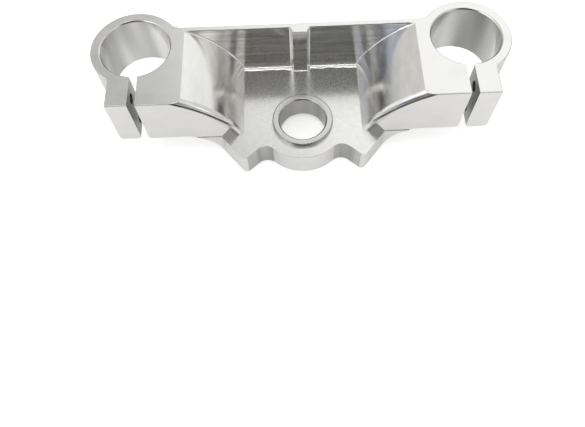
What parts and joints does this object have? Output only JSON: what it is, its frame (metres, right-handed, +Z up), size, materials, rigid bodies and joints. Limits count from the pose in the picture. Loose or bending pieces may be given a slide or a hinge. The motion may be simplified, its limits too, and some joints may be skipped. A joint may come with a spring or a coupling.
{
  "type": "motorcycle triple clamp",
  "caption": "Polished one-piece fork clamp: slotted rings grip the fork tubes, a pocketed bridge carries the steering stem bore, and scalloped stops limit the steering.",
  "frame": {"origin": "on the steering stem's axis, level with the flat underside of the web", "axes": "+X from fork to fork, +Y back to the pocket's straight wall, +Z up along the stem and the forks"},
  "size_m": [0.2596, 0.0888, 0.0542],
  "materials": {
    "polished_aluminium": "mirror-polished pocket and shoulders, satin machined tops and front faces, turned bores"
  },
  "bodies": {
    "root": {"triple_clamp": "polished_aluminium"}
  },
  "joints": []
}
